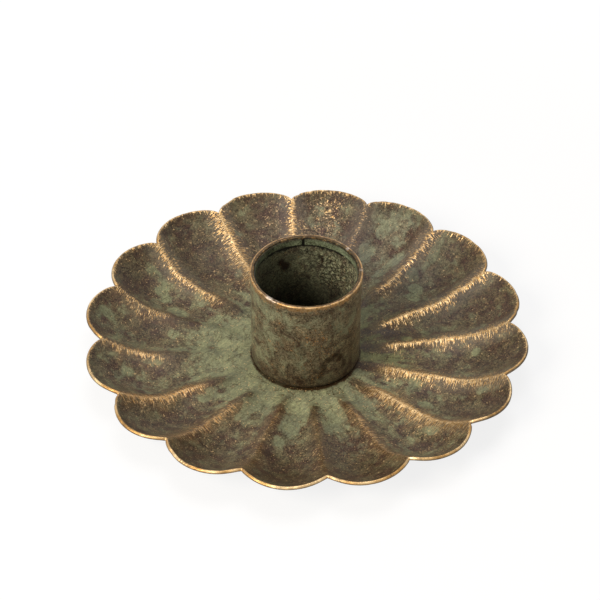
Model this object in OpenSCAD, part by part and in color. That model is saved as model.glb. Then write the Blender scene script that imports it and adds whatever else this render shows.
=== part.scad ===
// Candle holder: a petal-edged drip dish with a drawn candle cup riveted to its middle.
// Millimetres. The origin is on the axis, on the surface that the dish stands on.

/* [Dish] */
// Diameter over the petal tips
dish_d = 97.4; // [84:0.2:130]
// Number of petals
petal_count = 16; // [10:1:24]
// How far the notches between petals lie inside the petal tips
scallop_depth = 3.9; // [1:0.1:6]
// Thickness of the dish's sheet
sheet_t = 0.75; // [0.6:0.05:1.6]
// Height of the petal tips above the dish's floor
rim_h = 7.6; // [4:0.1:14]
// Diameter at which the floor starts to turn up
floor_d = 64; // [50:1:76]
// Height of a ridge over the petals beside it, where it meets the edge
ridge_h = 2.6; // [1:0.05:3.2]
// Length over which a ridge's crest is rounded, to each side
ridge_soft = 0.8; // [0.4:0.1:2]
// Length over which the ridges rise out of the flat middle
ridge_fade = 8; // [4:1:24]
// Width of the plain flat ring left round the cup's foot
seat_margin = 1.5; // [0.6:0.1:6]
// Turn of the petals about the axis, in degrees
petal_turn = 16.1; // [0:0.1:22.5]

/* [Candle cup] */
// Diameter of the candle that the cup is made for
candle_d = 22; // [18:0.1:30]
// Clearance round the candle inside the mouth ring, to each side
candle_clear = 0.1; // [0.1:0.05:0.5]
// Height of the cup over the dish's floor
cup_h = 24; // [16:0.1:40]
// Thickness of the cup's wall under the lip
cup_wall_t = 0.7; // [0.5:0.05:1.2]
// How much the wall thins towards the foot
foot_draw = 0.1; // [0:0.05:0.3]
// Thickness of the cup's floor
cup_floor_t = 0.8; // [0.5:0.05:1.5]
// Radius of the rounded foot outside
foot_round = 1; // [0.4:0.1:2]
// Radius of the fillet round the floor inside
floor_fillet = 0.6; // [0.2:0.1:2]
// Height of the thicker band under the lip
lip_h = 2.4; // [1:0.1:4]
// How far that band stands proud of the wall
lip_proud = 0.18; // [0.05:0.01:0.5]
// Radius of the rounded edge of the lip
lip_round = 0.25; // [0.1:0.05:0.3]

/* [Mouth ring] */
// Thickness of the strip
ring_t = 0.3; // [0.2:0.05:0.6]
// Height of the strip
ring_h = 1.8; // [1:0.1:4]
// How far the strip sits below the lip
ring_drop = 0.45; // [0.2:0.05:1]
// Gap left between the strip's two ends
ring_split = 0.6; // [0.2:0.1:2]
// Direction of that gap about the axis, in degrees
ring_split_turn = 93.4; // [0:0.1:360]

/* [Rivet] */
// Diameter of the shank
rivet_d = 3; // [2:0.1:4]
// Diameter of the countersunk head under the dish
rivet_head_d = 5.4; // [4.6:0.1:7]
// Thickness of sheet left over the countersink
rivet_land = 0.25; // [0.1:0.05:0.4]
// How far the head lies above the underside, so that the dish stands on its sheet
rivet_sink = 0.05; // [0.02:0.01:0.15]
// Diameter of the peened end on the cup's floor
peen_d = 5.2; // [4.6:0.1:7]
// Height of the peened end
peen_h = 1.1; // [0.6:0.1:2]

/* [Hidden] */

// Clearances and the overrun of cuts
ring_clear = 0.02;
rivet_clear = 0.03;
overrun = 1;

// Derived sizes
dish_r = dish_d / 2;
floor_r = floor_d / 2;
half_pitch = 180 / petal_count;
notch_r = dish_r - scallop_depth;
lobe_sagitta = dish_r - notch_r * cos(half_pitch);
lobe_half_w = notch_r * sin(half_pitch);
lobe_r = (lobe_half_w * lobe_half_w + lobe_sagitta * lobe_sagitta) / (2 * lobe_sagitta);
lobe_mid_r = dish_r - lobe_r;
mouth_r = candle_d / 2 + candle_clear;
bore_r = mouth_r + ring_t + ring_clear;
neck_r = bore_r + cup_wall_t;
foot_r = neck_r - foot_draw;
lip_r = neck_r + lip_proud;
lip_edge_share = 0.45;
lip_edge = min(lip_round, (lip_r - bore_r) * lip_edge_share);
seat_r = foot_r + seat_margin;
rivet_r = rivet_d / 2;
head_r = rivet_head_d / 2;
head_t = sheet_t - rivet_land;
peen_r = peen_d / 2;
peen_foot_z = sheet_t + cup_floor_t;

// Fineness of the round and the pressed surfaces
round_fn = 128;
arc_steps = 8;
petal_steps = 12;
flat_rings = 5;
rising_rings = 5;
slope_step_share = 0.001;

// Points along an arc about a middle, from one angle to another
function arc(mid, r, from, to) =
    [for (i = [0 : arc_steps])
        let (a = from + (to - from) * i / arc_steps)
        [mid[0] + r * cos(a), mid[1] + r * sin(a)]];

// A smooth step from 0 to 1
function ease(t) =
    let (u = min(max(t, 0), 1))
    u * u * (3 - 2 * u);

// Radius of the scalloped edge, at an angle measured from a petal's middle
function edge_r(a) =
    let (side = lobe_mid_r * sin(a))
    lobe_mid_r * cos(a) + sqrt(lobe_r * lobe_r - side * side);

// Height of the petals' floor, which turns up towards the edge
function turn_up(r) =
    let (t = max(r - floor_r, 0) / (dish_r - floor_r))
    rim_h * t * t;

// Height of the ridges' crests over the petals' floor
function ridge_lift(r) = ridge_h * r / notch_r * ease((r - seat_r) / ridge_fade);

// Form across a petal: 0 in its middle, rising to a rounded 1 on the ridge
function scoop(r, a) =
    let (
        off_ridge = r * abs(half_pitch - abs(a)) * PI / 180,
        half_w = r * half_pitch * PI / 180,
        reach = sqrt(half_w * half_w + ridge_soft * ridge_soft),
        near = sqrt(off_ridge * off_ridge + ridge_soft * ridge_soft),
        t = (reach - near) / (reach - ridge_soft)
    )
    t * t;

// Height of the dish's upper face
function top_z(r, a) = sheet_t + turn_up(r) + ridge_lift(r) * scoop(r, a);

// Upward unit normal of the upper face: its outward, sideways and upward parts
function top_normal(r, a) =
    let (
        step = slope_step_share * dish_r,
        turn = step / r * 180 / PI,
        out = (top_z(r - step, a) - top_z(r + step, a)) / (2 * step),
        side = (top_z(r, a - turn) - top_z(r, a + turn)) / (2 * step),
        size = sqrt(out * out + side * side + 1)
    )
    [out / size, side / size, 1 / size];

// Radius of a ring of points: even steps over the flat floor, then even steps up to the edge
function ring_r(k, a) =
    k <= flat_rings
        ? seat_r + (floor_r - seat_r) * k / flat_rings
        : floor_r + (edge_r(a) - floor_r) * (k - flat_rings) / rising_rings;

// A point of the sheet's upper or lower face; depth is 0 or the sheet's thickness
function sheet_point(k, a, petal, depth) =
    let (
        r = ring_r(k, a),
        n = top_normal(r, a),
        turn = petal_turn + 2 * half_pitch * petal + a,
        out = r - depth * n[0],
        side = -depth * n[1]
    )
    [
        out * cos(turn) - side * sin(turn),
        out * sin(turn) + side * cos(turn),
        top_z(r, a) - depth * n[2]
    ];

// One closed ring of points round the dish
function sheet_ring(k, depth) =
    [for (petal = [0 : petal_count - 1], i = [0 : petal_steps - 1])
        sheet_point(k, half_pitch * (2 * i / petal_steps - 1), petal, depth)];

// The dish's sheet as one closed solid
module petal_sheet() {
    around = petal_count * petal_steps;
    last = flat_rings + rising_rings;
    top_count = around * (last + 1);
    top = [for (k = [0 : last]) each sheet_ring(k, 0)];
    under = [for (k = [0 : last]) each sheet_ring(k, sheet_t)];
    top_faces = [for (k = [0 : last - 1], i = [0 : around - 1])
        let (j = (i + 1) % around, a = k * around, b = a + around)
        each [[a + i, a + j, b + j], [a + i, b + j, b + i]]];
    under_faces = [for (f = top_faces) [f[0] + top_count, f[2] + top_count, f[1] + top_count]];
    edge_faces = [for (i = [0 : around - 1])
        let (j = (i + 1) % around, a = last * around, b = a + top_count)
        each [[a + i, a + j, b + j], [a + i, b + j, b + i]]];
    top_middle = [for (i = [0 : around - 1]) around - 1 - i];
    under_middle = [for (i = [0 : around - 1]) top_count + i];
    polyhedron(
        points = concat(top, under),
        faces = concat(top_faces, under_faces, edge_faces, [top_middle, under_middle]),
        convexity = 6
    );
}

// The countersunk hole through the dish's middle
module rivet_hole() {
    translate([0, 0, -overrun])
        cylinder(h = sheet_t + 2 * overrun, r = rivet_r + rivet_clear, $fn = round_fn);
    cylinder(h = head_t, r1 = head_r + rivet_clear, r2 = rivet_r + rivet_clear, $fn = round_fn);
    translate([0, 0, -overrun])
        cylinder(h = overrun, r = head_r + rivet_clear, $fn = round_fn);
}

module dish() {
    color("#5c5640")
        difference() {
            petal_sheet();
            rivet_hole();
        }
}

module candle_cup() {
    outside = concat(
        arc([foot_r - foot_round, foot_round], foot_round, -90, 0),
        [[neck_r, cup_h - lip_h], [lip_r, cup_h - lip_h + lip_proud]],
        arc([lip_r - lip_edge, cup_h - lip_edge], lip_edge, 0, 90)
    );
    inside = concat(
        arc([bore_r + lip_edge, cup_h - lip_edge], lip_edge, 90, 180),
        arc([bore_r - floor_fillet, cup_floor_t + floor_fillet], floor_fillet, 0, -90)
    );
    hole_r = rivet_r + rivet_clear;
    color("#67624b")
        translate([0, 0, sheet_t])
            rotate_extrude($fn = round_fn)
                polygon(concat([[hole_r, 0]], outside, inside, [[hole_r, cup_floor_t]]));
}

module mouth_ring() {
    color("#6f8066")
        translate([0, 0, sheet_t + cup_h - ring_drop - ring_h])
            difference() {
                cylinder(h = ring_h, r = mouth_r + ring_t, $fn = round_fn);
                translate([0, 0, -overrun])
                    cylinder(h = ring_h + 2 * overrun, r = mouth_r, $fn = round_fn);
                rotate([0, 0, ring_split_turn])
                    translate([0, -ring_split / 2, -overrun])
                        cube([mouth_r + ring_t + overrun, ring_split, ring_h + 2 * overrun]);
            }
}

module rivet() {
    dome_r = (peen_r * peen_r + peen_h * peen_h) / (2 * peen_h);
    dome_from = asin((dome_r - peen_h) / dome_r);
    dome = arc([0, peen_foot_z + peen_h - dome_r], dome_r, dome_from, 90);
    sunk_r = head_r - rivet_sink * (head_r - rivet_r) / head_t;
    color("#8a6a3c")
        rotate_extrude($fn = round_fn)
            polygon(concat(
                [[0, rivet_sink], [sunk_r, rivet_sink], [rivet_r, head_t], [rivet_r, peen_foot_z]],
                dome
            ));
}

dish();
candle_cup();
mouth_ring();
rivet();
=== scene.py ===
import math
from functools import partial
from types import SimpleNamespace
import bmesh
import bpy
import numpy as np
from mathutils import Matrix, Vector


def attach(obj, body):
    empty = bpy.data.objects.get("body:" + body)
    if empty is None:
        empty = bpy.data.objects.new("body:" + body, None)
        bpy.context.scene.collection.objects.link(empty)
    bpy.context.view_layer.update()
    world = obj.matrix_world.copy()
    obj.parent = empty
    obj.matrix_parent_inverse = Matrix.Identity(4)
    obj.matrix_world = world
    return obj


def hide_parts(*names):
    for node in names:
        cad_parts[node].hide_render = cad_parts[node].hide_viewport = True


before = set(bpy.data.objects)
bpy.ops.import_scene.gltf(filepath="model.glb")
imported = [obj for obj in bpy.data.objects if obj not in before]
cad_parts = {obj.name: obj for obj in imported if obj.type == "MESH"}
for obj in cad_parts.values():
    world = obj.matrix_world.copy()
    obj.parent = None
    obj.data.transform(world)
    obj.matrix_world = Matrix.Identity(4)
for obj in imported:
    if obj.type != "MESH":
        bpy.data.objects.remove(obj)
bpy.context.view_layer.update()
mm = 0.001                              # sizes below are millimetres, and the scene is in metres
weld = 0.002 * mm                       # points closer than this become one


def paint(hexColour):                   # an sRGB hex colour, as the linear one that a shader takes
    shares = [int(hexColour[i:i + 2], 16) / 255 for i in (1, 3, 5)]
    linear = [c / 12.92 if c <= 0.04045 else ((c + 0.055) / 1.055) ** 2.4 for c in shares]
    return (*linear, 1.0)


# The setting that a second word in a node's kind chooses
menus = {"Math": "operation", "VectorMath": "operation", "MapRange": "interpolation_type", "Mix": "data_type",
         "VectorRotate": "rotation_type", "TexNoise": "noise_dimensions", "TexVoronoi": "feature"}


def addNode(tree, kind, inputs=(), out=None, **settings):   # one node, its settings and its links
    kind, *choice = kind.split()
    made = tree.nodes.new(kind if kind.startswith(("Geometry", "NodeGroup")) else "ShaderNode" + kind)
    for name, value in [*settings.items(), *((menus[kind], word) for word in choice)]:
        setattr(made, name, value)
    named = isinstance(inputs, dict)
    sockets = made.inputs if named else [socket for socket in made.inputs if socket.enabled]
    for key, value in inputs.items() if named else enumerate(inputs):
        for one in value if isinstance(value, list) else [value]:
            if isinstance(one, bpy.types.NodeSocket):
                tree.links.new(one, sockets[key])
            else:
                sockets[key].default_value = one
    return made.outputs[out] if out else next((socket for socket in made.outputs if socket.enabled), made)


def openTree(owner):                    # add() for the emptied node tree of a material or a world
    owner.use_nodes = True
    owner.node_tree.nodes.clear()
    return partial(addNode, owner.node_tree)


def newObject(name, data):              # an object in the scene
    made = bpy.data.objects.new(name, data)
    bpy.context.scene.collection.objects.link(made)
    return made


# The camera stands where the photograph was taken from
viewpoint = {
    "elevation": 41.51,                 # degrees over the table
    "distance": 496.1,
    "target": (-1.32, 17.51, 0.75),
    "lens": 129.98, "sensor": 36.0,     # focal length, and width of the sensor
    "roll": 0.447,                      # degrees
    "nearest": 10,                      # nothing closer than this is drawn
}


def placeCamera():
    data = bpy.data.cameras.new("photoCamera")
    data.sensor_width = viewpoint["sensor"]
    data.lens = viewpoint["lens"]
    data.clip_start = viewpoint["nearest"] * mm
    camera = newObject("photoCamera", data)
    tilt = math.radians(90 - viewpoint["elevation"])
    turn = Matrix.Rotation(tilt, 4, "X") @ Matrix.Rotation(math.radians(viewpoint["roll"]), 4, "Z")
    eye = Vector(viewpoint["target"]) + turn.to_3x3() @ Vector((0, 0, viewpoint["distance"]))
    camera.matrix_world = Matrix.Translation(eye * mm) @ turn
    bpy.context.scene.camera = camera


placeCamera()
print("camera placed")


# Soft studio light: a key from the front left, a cool softbox overhead and an even fill
studio = {
    # each softbox: place, size, the share of a white card's brightness that it gives, and colour
    "key": ((-510, -430, 520), 400, 0.74, "#fff6e8"),
    "top": ((20, 150, 820), 420, 0.33, "#f3f3f8"),
    "fillLevel": 0.28, "fillColour": "#f4efe6",
    "floorSize": 3000, "floorColour": "#e7e7e7", "floorShade": 0.2,
    "floorGlow": 0.83, "glowFrom": 80, "glowFull": 400,     # dimmer under the object, white further out
}


def hangSoftbox(name, place, size, level, colour):
    data = bpy.data.lights.new(name, "AREA")
    data.size = size * mm
    distance = Vector(place).length * mm
    data.energy = level * (math.pi * distance) ** 2
    data.color = paint(colour)[:3]
    aim = Vector(place).to_track_quat("Z", "Y").to_matrix().to_4x4()
    newObject(name, data).matrix_world = Matrix.Translation(Vector(place) * mm) @ aim


def seenDirectly(add):                  # 1 for camera, glossy and transmission rays
    path = add("LightPath").node
    first = add("Math MAXIMUM", [path.outputs["Is Camera Ray"], path.outputs["Is Glossy Ray"]])
    return add("Math MAXIMUM", [first, path.outputs["Is Transmission Ray"]])


def lightStudio():
    for name in ("key", "top"):
        hangSoftbox(name + "Softbox", *studio[name])
    world = bpy.data.worlds.new("whiteStudio")
    add = openTree(world)
    white = add("Background", [paint("#ffffff"), 1.0])
    fill = add("Background", [paint(studio["fillColour"]), studio["fillLevel"]])
    add("OutputWorld", {"Surface": add("MixShader", [seenDirectly(add), fill, white])})
    bpy.context.scene.world = world


def layFloor():
    half = studio["floorSize"] * mm / 2
    mesh = bpy.data.meshes.new("paleFloor")
    corners = [(-half, -half, 0), (half, -half, 0), (half, half, 0), (-half, half, 0)]
    mesh.from_pydata(corners, [], [(0, 1, 2, 3)])
    material = bpy.data.materials.new("pale sweep")
    add = openTree(material)
    plain = add("BsdfDiffuse", [paint(studio["floorColour"])])
    shade = studio["floorShade"]
    catcher = add("BsdfDiffuse", [(shade, shade, shade, 1.0)])
    away = add("VectorMath LENGTH", [add("TexCoord", out="Object")])
    level = add("MapRange SMOOTHSTEP",
                [away, studio["glowFrom"] * mm, studio["glowFull"] * mm, studio["floorGlow"], 1.0])
    glow = add("Emission", [paint("#ffffff"), level])
    bright = add("AddShader", [catcher, glow])
    add("OutputMaterial", {"Surface": add("MixShader", [seenDirectly(add), plain, bright])})
    mesh.materials.append(material)
    newObject("paleFloor", mesh)


lightStudio()
layFloor()
bpy.context.scene.view_settings.view_transform = "Standard"
print("studio lit")


# Bare metal where the skin is rubbed through, shared by the pieces
rubbed = {
    "copper": "#a0682e", "worn": "#b58c54", "bright": "#efcf9c",
    "glintsPerMm": 2.0, "sheenPerMm": 0.2,
    "roughness": 0.34, "relief": -0.012, "specular": 0.25,
}


def startFinish(name):                  # a material, add() for its tree, and the place on the piece in mm
    material = bpy.data.materials.new(name)
    add = openTree(material)
    return material, add, add("VectorMath SCALE", [add("TexCoord", out="Object"), 1 / mm])


def readNotes(add, names):              # what is noted on the mesh, by name
    notes = {name: add("Attribute", out="Fac", attribute_name=name) for name in names.split()}
    return SimpleNamespace(**notes)


def past(add, noise, limit, start, full, most):     # rises from 0 to most where the noise passes the limit
    return add("MapRange", [add("Math SUBTRACT", [noise, limit]), start, full, 0.0, most])


def endFinish(add, surface, metal, relief):
    colour, rough, height = surface
    bump = add("Bump", {"Strength": relief, "Distance": mm, "Height": height})
    shader = add("BsdfPrincipled", {"Base Color": colour, "Metallic": metal, "Roughness": rough,
                                    "Specular IOR Level": rubbed["specular"], "Normal": bump})
    add("OutputMaterial", {"Surface": shader})


# Aged skin on brass: brown lacquer in several tones, bloomed with green in patches, and finely grained
def agedSkin(add, point, look, greening, darkening, sparkle, flow=None):
    # each noise: step of the seed, size in mm, detail, roughness, distortion, and the place that it follows
    noises = {
        "patch": (0, look["patch"], 8.0, 0.68, 0.5, flow or point),
        "tan": (6, look["tanSize"], 5.0, 0.7, 0.2, flow or point),
        "cloud": (4, look["bloomSize"], 4.0, 0.6, 0.3, flow or point),
        "swirl": (9, look["veinSize"], 4.0, 0.6, 0.8, flow or point),
        "grain": (12, look["grain"], 3.0, 0.8, 0.0, point),
        "fleck": (15, look["fleck"], 1.0, 0.6, 0.0, point),
    }
    noise = {}
    for name, (step, size, detail, roughness, distortion, place) in noises.items():
        noise[name] = add("TexNoise 4D", {"Vector": place, "W": look["seed"] + step, "Scale": 1 / size,
                                          "Detail": detail, "Roughness": roughness, "Distortion": distortion})
    colours = ("umber", "olive", "tan", "sage", "sageDark", "vein", "speck")
    shade = {name: paint(look[name]) for name in colours}

    tone = add("MapRange", [noise["patch"], look["patchLow"], look["patchHigh"]])
    ground = add("Mix RGBA", [tone, shade["umber"], shade["olive"]])
    warmth = add("MapRange", [noise["tan"], 0.5, 0.72, 0.0, look["tanCover"]])
    warmed = add("Mix RGBA", [warmth, ground, shade["tan"]])

    cloudy = add("MapRange", [noise["cloud"], 0.3, 0.7, -0.45, 0.45])
    bloomed = add("Math ADD", [cloudy, greening])
    bloom = add("MapRange SMOOTHSTEP", [bloomed, 0.17, 0.76, 0.0, look["bloomCover"]])
    sage = add("Mix RGBA", [tone, shade["sageDark"], shade["sage"]])
    greened = add("Mix RGBA", [bloom, warmed, sage])

    offVein = add("Math ABSOLUTE", [add("Math SUBTRACT", [noise["swirl"], 0.5])])
    vein = add("MapRange", [offVein, 0.0, look["veinWidth"], 1.0, 0.0])
    veinArea = add("MapRange", [noise["cloud"], 0.4, 0.6, look["veinCover"], 0.3 * look["veinCover"]])
    darkened = add("Math MULTIPLY_ADD", [vein, veinArea, darkening], use_clamp=True)
    dark = add("Mix RGBA", [darkened, greened, shade["vein"]])

    depth = look["grainDepth"] * 1.25
    uneven = add("MapRange", [noise["grain"], 0.0, 1.0, -depth, depth])
    smoothing = add("MapRange", [bloom, 0.0, 1.0, 1.0, 0.22])
    gain = add("Math MULTIPLY_ADD", [uneven, smoothing, 1.0])
    grained = add("VectorMath SCALE", [dark, gain])

    lively = add("Math ADD", [warmth, sparkle], use_clamp=True)
    fleckFrom = add("MapRange", [lively, 0.0, 1.0, look["fleckRare"], look["fleckOften"]])
    flecked = past(add, noise["fleck"], fleckFrom, 0.0, 0.13, 0.9)
    specked = add("Mix RGBA", [flecked, grained, shade["speck"]])

    rough = add("MapRange", [bloom, 0.0, 1.0, look["lacquerRoughness"], look["bloomRoughness"]])
    crust = add("Math MULTIPLY", [noise["grain"], look["grainRelief"]])
    thick = add("Math MULTIPLY_ADD", [bloom, look["bloomRelief"], crust])
    raised = add("Math MULTIPLY_ADD", [flecked, look["speckRelief"], thick])
    return specked, rough, raised


def rubThrough(add, point, skin, cover, warmth, even=0.0):  # brass where cover is 1, redder where warmth is
    colour, rough, height = skin
    # painted highlights: the bare brass is mixed towards a brighter colour in random glints, with a slower
    # pattern where even is 1, along the dish's cut edge
    glint = add("TexNoise", [point, rubbed["glintsPerMm"], 3.0, 0.7])
    slow = add("TexNoise", [point, rubbed["sheenPerMm"], 1.0])
    shown = add("Mix", [even, glint, slow])
    glinting = add("MapRange", [shown, 0.4, 0.66])
    yellow = add("Mix RGBA", [glinting, paint(rubbed["worn"]), paint(rubbed["bright"])])
    metal = add("Mix RGBA", [warmth, yellow, paint(rubbed["copper"])])
    bare = add("Mix RGBA", [cover, colour, metal])
    greySheen = add("Mix", [cover, rough, rubbed["roughness"]])
    worn = add("Math MULTIPLY_ADD", [cover, rubbed["relief"], height])
    return bare, greySheen, worn


# The dish: one sheet pressed into scooped petals by the part's own rule, with the small strays of hand work
dish = {
    "petals": 16, "petalTurn": 16.1,                # degrees from +X to the middle of a petal
    "tipRadius": 48.7, "scallopDepth": 3.9, "sheet": 0.75,
    "rimHeight": 7.6, "floorRadius": 32.0,
    "ridgeHeight": 2.6, "ridgeSoft": 0.8, "ridgeFade": 8.0, "seatRadius": 13.52,
    "holeRadius": 1.53, "headRadius": 2.73, "headLand": 0.25,
    "corner": 0.12,                                 # how far the cut edge's corners are worn back
    "dentHeight": 0.16, "dentLength": 13.0, "dentFrom": 34.0, "dentFull": 44.0,
    "wander": 0.35, "wanderLength": 7.0,            # sideways wobble of the crests
    "nickDepth": 0.3, "nickLength": 2.4,            # small nicks in the cut edge
    "strayFocus": 5.0,                              # the higher, the closer to its notch a stray stays
    "strayFrom": 37.0,                              # the crests stray inside this radius as their ridge does
    "slopeReach": 0.05,                             # to each side of a point, for the sheet's slope there
    "seed": 3.0,
    "around": 768, "topRows": 80, "edgeRows": 6, "underRows": 26, "holeRows": 3,
    "rowSpread": 0.7,                               # under 1 draws the rows together towards the edge
    "coneRows": 2 / 3,                              # share of the hole's rows that make the countersink
    # for each ridge, from 4.85 degrees on: mm that its notch strays outwards, degrees that the ridge strays,
    # and degrees that its notch does
    "notchStray": [0.1, 0.3, 0.1, 0.7, 0.55, 0.2, 0, 0, -0.1, 0, 0, 0.2, 0, 0.1, 0.3, 0.35],
    "ridgeStray": [0.3, -1.0, -0.3, 0, 0, -0.7, 1.9, 0.9, 0.5, 1.4, -0.2, 0.9, 1.3, -0.2, 0, -0.6],
    "notchTurn": [-1.4, -1.5, -0.7, -0.6, -0.4, -0.3, 0, -0.4, -0.4, 0.4, 0, 0.8, 1.0, 1.2, 0.4, -0.6],
}


def dishInputs():                       # named inputs of the tree: the sizes above and what follows from them
    halfPitch = math.pi / dish["petals"]
    notch = dish["tipRadius"] - dish["scallopDepth"]
    sagitta = dish["tipRadius"] - notch * math.cos(halfPitch)
    halfWidth = notch * math.sin(halfPitch)
    lobe = (halfWidth ** 2 + sagitta ** 2) / (2 * sagitta)
    names = ("petals tipRadius sheet rimHeight floorRadius ridgeHeight ridgeSoft seatRadius holeRadius "
             "headRadius headLand corner dentHeight dentLength dentFrom dentFull wander wanderLength "
             "nickDepth nickLength seed")
    values = {name: float(dish[name]) for name in names.split()}
    values.update(halfPitch=halfPitch, pitch=2 * halfPitch, notchRadius=notch, lobeRadius=lobe,
                  lobeMiddle=dish["tipRadius"] - lobe, ridgeFull=dish["seatRadius"] + dish["ridgeFade"],
                  petalTurn=math.radians(dish["petalTurn"]))
    return values


def pressedHeight(add, size, radius, angle):            # of the upper face, at an angle from a petal's middle
    turned = add("MapRange", [radius, size.floorRadius, size.tipRadius])
    turnUp = add("Math MULTIPLY", [turned, turned])
    begun = add("MapRange SMOOTHSTEP", [radius, size.seatRadius, size.ridgeFull])
    outward = add("Math DIVIDE", [radius, size.notchRadius])
    lift = add("Math MULTIPLY", [begun, outward])
    offRidge = add("Math SUBTRACT", [size.halfPitch, add("Math ABSOLUTE", [angle])])
    across = add("Math MULTIPLY", [offRidge, radius])
    halfWidth = add("Math MULTIPLY", [size.halfPitch, radius])
    near = add("VectorMath LENGTH", [add("CombineXYZ", [across, size.ridgeSoft])])
    far = add("VectorMath LENGTH", [add("CombineXYZ", [halfWidth, size.ridgeSoft])])
    curve = add("MapRange", [near, far, size.ridgeSoft])
    scoop = add("Math MULTIPLY", [curve, curve])
    ridge = add("Math MULTIPLY", [lift, scoop])
    floor = add("Math MULTIPLY_ADD", [turnUp, size.rimHeight, size.sheet])
    return add("Math MULTIPLY_ADD", [ridge, size.ridgeHeight, floor])


def strayOf(add, ridge, strays):        # the stray of a numbered ridge
    wrapped = add("Math FLOORED_MODULO", [ridge, float(dish["petals"])])
    switch = add("GeometryNodeIndexSwitch", data_type="FLOAT").node
    while len(switch.index_switch_items) < dish["petals"]:
        switch.index_switch_items.new()
    switch.id_data.links.new(wrapped, switch.inputs[0])
    for number, stray in enumerate(strays):
        switch.inputs[number + 1].default_value = stray
    return switch.outputs[0]


def sheetPatch(add, size, rows, shape):                 # one face of the sheet: a grid bent round the axis
    grid = add("GeometryNodeMeshGrid", [1.0, 1.0, dish["around"] + 1, rows + 1])
    flat = add("VectorMath ADD", [add("GeometryNodeInputPosition"), (0.5, 0.5, 0.0)])
    place = add("SeparateXYZ", [flat]).node
    turn, along = place.outputs[0], place.outputs[1]
    count = add("Math MULTIPLY", [turn, size.petals])
    part = add("Math FRACT", [count])
    centred = add("Math SUBTRACT", [part, 0.5])
    angle = add("Math MULTIPLY", [centred, size.pitch])
    steps = add("Math SUBTRACT", [count, 0.5])
    azimuth = add("Math MULTIPLY_ADD", [steps, size.pitch, size.petalTurn])

    # the scalloped edge, with its nicks and strayed notches
    ridge = add("Math FLOOR", [count])
    nextRidge = add("Math ADD", [ridge, 1.0])
    fromRidge = add("Math SUBTRACT", [1.0, part])
    nearThis = add("Math POWER", [fromRidge, dish["strayFocus"]])
    nearNext = add("Math POWER", [part, dish["strayFocus"]])
    pushThis = add("Math MULTIPLY", [nearThis, strayOf(add, ridge, dish["notchStray"])])
    push = add("Math MULTIPLY_ADD", [nearNext, strayOf(add, nextRidge, dish["notchStray"]), pushThis])
    sine = add("Math SINE", [angle])
    cosine = add("Math COSINE", [angle])
    aside = add("Math MULTIPLY", [sine, size.lobeMiddle])
    asideSquare = add("Math MULTIPLY", [aside, aside])
    lobeSquare = add("Math MULTIPLY", [size.lobeRadius, size.lobeRadius])
    chordSquare = add("Math SUBTRACT", [lobeSquare, asideSquare])
    chord = add("Math SQRT", [chordSquare])
    scallop = add("Math MULTIPLY_ADD", [cosine, size.lobeMiddle, chord])
    rimPoint = add("VectorRotate Z_AXIS", {"Vector": (dish["tipRadius"], 0.0, 0.0), "Angle": azimuth})
    nickScale = add("Math DIVIDE", [1.0, size.nickLength])
    nickNoise = add("TexNoise 4D", [rimPoint, size.seed, nickScale, 2.0])
    nick = add("MapRange", [nickNoise, 0.58, 0.8, 0.0, size.nickDepth])
    nicked = add("Math SUBTRACT", [scallop, nick])
    outline = add("Math ADD", [nicked, push])
    edge = add("Math SUBTRACT", [outline, size.corner])
    radius, depth = shape(add, size, along, edge)

    # the height and the sheet's own direction at that place
    height = pressedHeight(add, size, radius, angle)
    reach = dish["slopeReach"]
    outer = pressedHeight(add, size, add("Math ADD", [radius, reach]), angle)
    inner = pressedHeight(add, size, add("Math SUBTRACT", [radius, reach]), angle)
    twist = add("Math DIVIDE", [reach, radius])
    left = pressedHeight(add, size, radius, add("Math ADD", [angle, twist]))
    right = pressedHeight(add, size, radius, add("Math SUBTRACT", [angle, twist]))
    slopeOut = add("Math SUBTRACT", [inner, outer])
    slopeSide = add("Math SUBTRACT", [right, left])
    steep = add("CombineXYZ", [slopeOut, slopeSide, 2 * reach])
    upward = add("VectorMath NORMALIZE", [steep])

    # dents, wandering crests and strayed ridges move the upper face and the underside alike
    outwards = add("CombineXYZ", [radius])
    evenPoint = add("VectorRotate Z_AXIS", {"Vector": outwards, "Angle": azimuth})
    dentScale = add("Math DIVIDE", [1.0, size.dentLength])
    dentNoise = add("TexNoise 4D", [evenPoint, size.seed, dentScale, 1.0])
    dentSize = add("MapRange", [radius, size.dentFrom, size.dentFull, 0.0, size.dentHeight])
    dentShare = add("MapRange", [dentNoise, 0.3, 0.7, -1.0, 1.0])
    raised = add("Math MULTIPLY_ADD", [dentShare, dentSize, height])
    wanderScale = add("Math DIVIDE", [1.0, size.wanderLength])
    wanderNoise = add("TexNoise 4D", [evenPoint, size.seed, wanderScale, 1.0], "Color")
    wanderPart = add("SeparateXYZ", [wanderNoise], "Y")
    wanderShare = add("MapRange", [wanderPart, 0.3, 0.7, -1.0, 1.0])
    wanderSize = add("Math MULTIPLY", [wanderShare, size.wander])
    wanderTurn = add("Math DIVIDE", [wanderSize, radius])
    between = add("MapRange SMOOTHSTEP", [part, 0.0, 1.0])
    free = add("MapRange SMOOTHSTEP", [radius, size.notchRadius, dish["strayFrom"]])
    strays = []
    for name in ("notchTurn", "ridgeStray"):
        turns = [math.radians(degrees) for degrees in dish[name]]
        strays.append(add("Mix", [between, strayOf(add, ridge, turns), strayOf(add, nextRidge, turns)]))
    astray = add("Math ADD", [add("Mix", [free, *strays]), azimuth])
    bearing = add("Math MULTIPLY_ADD", [wanderTurn, free, astray])

    local = add("CombineXYZ", [radius, 0.0, raised])
    below = add("VectorMath SCALE", [upward, depth])
    placed = add("VectorMath SUBTRACT", [local, below])
    turned = add("VectorRotate Z_AXIS", {"Vector": placed, "Angle": bearing})
    metres = add("VectorMath SCALE", [turned, mm])

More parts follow.
